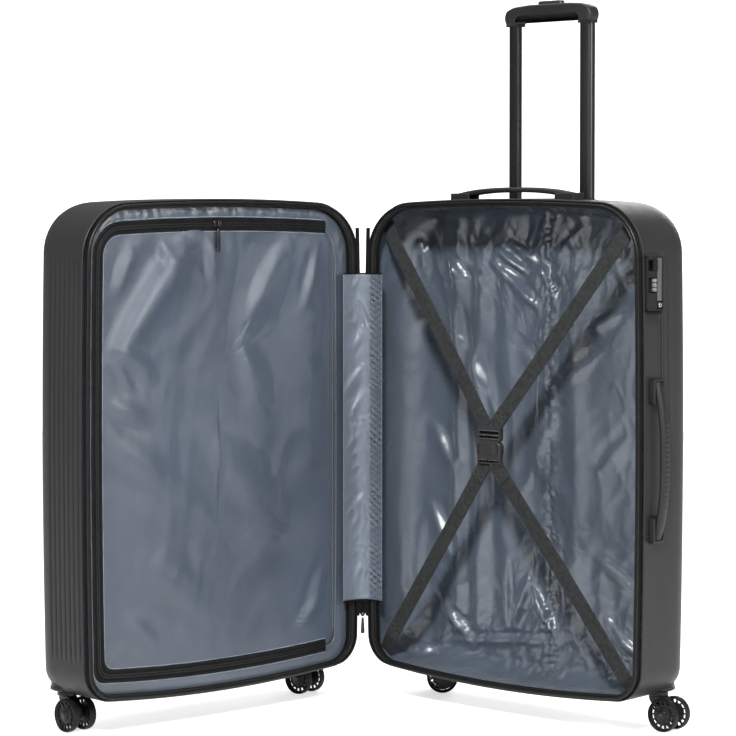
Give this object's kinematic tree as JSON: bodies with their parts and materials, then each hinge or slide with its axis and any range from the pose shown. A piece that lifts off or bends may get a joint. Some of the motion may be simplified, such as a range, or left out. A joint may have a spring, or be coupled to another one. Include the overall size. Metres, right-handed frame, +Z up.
{
  "type": "hard shell suitcase on wheels",
  "caption": "Large hard-shell suitcase standing open like a book on swivel casters, with a drawn-out trolley handle, lining, divider panel and packing straps.",
  "frame": {"origin": "on the floor, under the middle of the open case with its handle drawn out", "axes": "+Z up, and along the book hinge; the mouths of both halves face -Y; the half with the trolley handle is at +X"},
  "size_m": [0.9493, 0.4355, 1.082],
  "materials": {
    "moulded_shell": "fine matt grain",
    "lining_cloth": "shiny thin polyester",
    "panel_cloth": "thin polyester",
    "gusset_cloth": "satin polyester",
    "zip_tape": "woven tape",
    "strap_webbing": "woven webbing",
    "black_plastic": "satin",
    "dark_plastic": "satin",
    "wheel_rubber": "matt",
    "anodised_tube": "dark anodised",
    "anodised_inner_tube": "dark anodised",
    "plated_steel": "plated",
    "lock_plastic": "satin",
    "slider_metal": "dark plated"
  },
  "bodies": {
    "trolley_half": {"back_shell": "moulded_shell", "back_lining": "lining_cloth", "back_zip_band": "zip_tape", "outer_tube_hinge_side": "anodised_tube", "outer_tube_far_side": "anodised_tube", "trolley_cup": "black_plastic", "top_handle_mount_1": "dark_plastic", "top_handle_mount_2": "dark_plastic", "side_handle_mount_1": "dark_plastic", "side_handle_mount_2": "dark_plastic", "lock_housing": "lock_plastic", "buckle_socket": "black_plastic", "strap_lower_hinge_side": "strap_webbing", "strap_lower_far_side": "strap_webbing", "strap_upper_hinge_side": "strap_webbing", "strap_upper_far_side": "strap_webbing", "hinge_gusset": "gusset_cloth", "main_zip_slider": "slider_metal", "caster_1_housing": "black_plastic", "caster_2_housing": "black_plastic"},
    "lid_half": {"front_shell": "moulded_shell", "front_lining": "lining_cloth", "front_zip_band": "zip_tape", "divider_zip_outer": "zip_tape", "caster_3_housing": "black_plastic", "caster_4_housing": "black_plastic"},
    "trolley_handle": {"inner_tube_hinge_side": "anodised_inner_tube", "inner_tube_far_side": "anodised_inner_tube", "trolley_grip": "black_plastic"},
    "trolley_button": {"release_button": "black_plastic"},
    "top_handle": {"top_handle_grip": "black_plastic"},
    "side_handle": {"side_handle_grip": "black_plastic"},
    "divider": {"divider_panel": "panel_cloth", "divider_zip_inner": "zip_tape"},
    "divider_slider": {"divider_slider": "slider_metal"},
    "divider_pull": {"divider_pull": "slider_metal"},
    "main_zip_pull": {"main_zip_pull": "slider_metal"},
    "buckle_plug": {"buckle_plug": "black_plastic"},
    "lock_dial_1": {"lock_dial_1": "black_plastic"},
    "lock_dial_2": {"lock_dial_2": "black_plastic"},
    "lock_dial_3": {"lock_dial_3": "black_plastic"},
    "lock_release": {"lock_release": "lock_plastic"},
    "lock_key_barrel": {"lock_key_barrel": "plated_steel"},
    "caster_1_swivel": {"caster_1_fork": "dark_plastic", "caster_1_axle": "plated_steel"},
    "caster_1_wheel_1": {"caster_1_wheel_1": "wheel_rubber"},
    "caster_1_wheel_2": {"caster_1_wheel_2": "wheel_rubber"},
    "caster_2_swivel": {"caster_2_fork": "dark_plastic", "caster_2_axle": "plated_steel"},
    "caster_2_wheel_1": {"caster_2_wheel_1": "wheel_rubber"},
    "caster_2_wheel_2": {"caster_2_wheel_2": "wheel_rubber"},
    "caster_3_swivel": {"caster_3_fork": "dark_plastic", "caster_3_axle": "plated_steel"},
    "caster_3_wheel_1": {"caster_3_wheel_1": "wheel_rubber"},
    "caster_3_wheel_2": {"caster_3_wheel_2": "wheel_rubber"},
    "caster_4_swivel": {"caster_4_fork": "dark_plastic", "caster_4_axle": "plated_steel"},
    "caster_4_wheel_1": {"caster_4_wheel_1": "wheel_rubber"},
    "caster_4_wheel_2": {"caster_4_wheel_2": "wheel_rubber"}
  },
  "joints": [
    {"name": "book_hinge", "type": "hinge", "parent": "trolley_half", "child": "lid_half", "pos_m": [-0.0054, 0.136, 0.41], "axis": [0, 0, 1], "range_deg": [-84, 96], "deforming": ["hinge_gusset"]},
    {"name": "trolley_slide", "type": "slide", "parent": "trolley_half", "child": "trolley_handle", "axis": [0, 0, 1], "range_m": [-0.2995, 0]},
    {"name": "release_button_press", "type": "slide", "parent": "trolley_handle", "child": "trolley_button", "axis": [0, 0, 1], "range_m": [-0.004, 0], "stiffness_N_per_m": 300},
    {"name": "top_handle_lift", "type": "slide", "parent": "trolley_half", "child": "top_handle", "axis": [0, 0, 1], "range_m": [0, 0.01], "stiffness_N_per_m": 120},
    {"name": "side_handle_lift", "type": "slide", "parent": "trolley_half", "child": "side_handle", "axis": [0.7431, -0.6691, 0], "range_m": [0, 0.01], "stiffness_N_per_m": 120},
    {"name": "divider_hinge", "type": "hinge", "parent": "lid_half", "child": "divider", "pos_m": [-0.04665, 0.11232, 0.41], "axis": [0, 0, -1], "range_deg": [-90, 0]},
    {"name": "divider_slider_run", "type": "slide", "parent": "divider", "child": "divider_slider", "axis": [0.7431, 0.6691, 0], "range_m": [-0.12, 0.12]},
    {"name": "divider_pull_swing", "type": "hinge", "parent": "divider_slider", "child": "divider_pull", "pos_m": [-0.22039, -0.05206, 0.7366], "axis": [0.7431, 0.6691, 0], "range_deg": [-60, 0]},
    {"name": "main_zip_pull_swing", "type": "hinge", "parent": "trolley_half", "child": "main_zip_pull", "pos_m": [-0.0054, 0.136, 0.125], "axis": [1, 0, 0], "range_deg": [-60, 60]},
    {"name": "buckle_release", "type": "slide", "parent": "trolley_half", "child": "buckle_plug", "axis": [0, 0, 1], "range_m": [0, 0.022], "deforming": ["strap_upper_hinge_side", "strap_upper_far_side"]},
    {"name": "lock_dial_1_turn", "type": "hinge", "parent": "trolley_half", "child": "lock_dial_1", "pos_m": [0.41085, -0.19707, 0.6625], "axis": [0, 0, 1], "continuous": true},
    {"name": "lock_dial_2_turn", "type": "hinge", "parent": "trolley_half", "child": "lock_dial_2", "pos_m": [0.41085, -0.19707, 0.656], "axis": [0, 0, 1], "continuous": true},
    {"name": "lock_dial_3_turn", "type": "hinge", "parent": "trolley_half", "child": "lock_dial_3", "pos_m": [0.41085, -0.19707, 0.6495], "axis": [0, 0, 1], "continuous": true},
    {"name": "lock_release_slide", "type": "slide", "parent": "trolley_half", "child": "lock_release", "axis": [0, 0, 1], "range_m": [-0.0055, 0], "stiffness_N_per_m": 200},
    {"name": "lock_key_turn", "type": "hinge", "parent": "trolley_half", "child": "lock_key_barrel", "pos_m": [0.41835, -0.18634, 0.627], "axis": [0.7431, -0.6691, 0], "range_deg": [0, 90]},
    {"name": "caster_1_swivel_turn", "type": "hinge", "parent": "trolley_half", "child": "caster_1_swivel", "pos_m": [0.10127, 0.18124, 0.0577], "axis": [0, 0, 1], "continuous": true},
    {"name": "caster_1_wheel_1_roll", "type": "hinge", "parent": "caster_1_swivel", "child": "caster_1_wheel_1", "pos_m": [0.12077, 0.16624, 0.0245], "axis": [0, 1, 0], "continuous": true},
    {"name": "caster_1_wheel_2_roll", "type": "hinge", "parent": "caster_1_swivel", "child": "caster_1_wheel_2", "pos_m": [0.12077, 0.19624, 0.0245], "axis": [0, 1, 0], "continuous": true},
    {"name": "caster_2_swivel_turn", "type": "hinge", "parent": "trolley_half", "child": "caster_2_swivel", "pos_m": [0.42937, -0.11418, 0.0577], "axis": [0, 0, 1], "continuous": true},
    {"name": "caster_2_wheel_1_roll", "type": "hinge", "parent": "caster_2_swivel", "child": "caster_2_wheel_1", "pos_m": [0.43383, -0.13837, 0.0245], "axis": [0.6691, 0.7431, 0], "continuous": true},
    {"name": "caster_2_wheel_2_roll", "type": "hinge", "parent": "caster_2_swivel", "child": "caster_2_wheel_2", "pos_m": [0.4539, -0.11608, 0.0245], "axis": [0.6691, 0.7431, 0], "continuous": true},
    {"name": "caster_3_swivel_turn", "type": "hinge", "parent": "lid_half", "child": "caster_3_swivel", "pos_m": [-0.11207, 0.18124, 0.0577], "axis": [0, 0, 1], "continuous": true},
    {"name": "caster_3_wheel_1_roll", "type": "hinge", "parent": "caster_3_swivel", "child": "caster_3_wheel_1", "pos_m": [-0.10678, 0.15722, 0.0245], "axis": [0.6428, 0.766, 0], "continuous": true},
    {"name": "caster_3_wheel_2_roll", "type": "hinge", "parent": "caster_3_swivel", "child": "caster_3_wheel_2", "pos_m": [-0.08749, 0.1802, 0.0245], "axis": [0.6428, 0.766, 0], "continuous": true},
    {"name": "caster_4_swivel_turn", "type": "hinge", "parent": "lid_half", "child": "caster_4_swivel", "pos_m": [-0.44017, -0.11418, 0.0577], "axis": [0, 0, 1], "continuous": true},
    {"name": "caster_4_wheel_1_roll", "type": "hinge", "parent": "caster_4_swivel", "child": "caster_4_wheel_1", "pos_m": [-0.43827, -0.13871, 0.0245], "axis": [0.7431, 0.6691, 0], "continuous": true},
    {"name": "caster_4_wheel_2_roll", "type": "hinge", "parent": "caster_4_swivel", "child": "caster_4_wheel_2", "pos_m": [-0.41598, -0.11863, 0.0245], "axis": [0.7431, 0.6691, 0], "continuous": true}
  ]
}
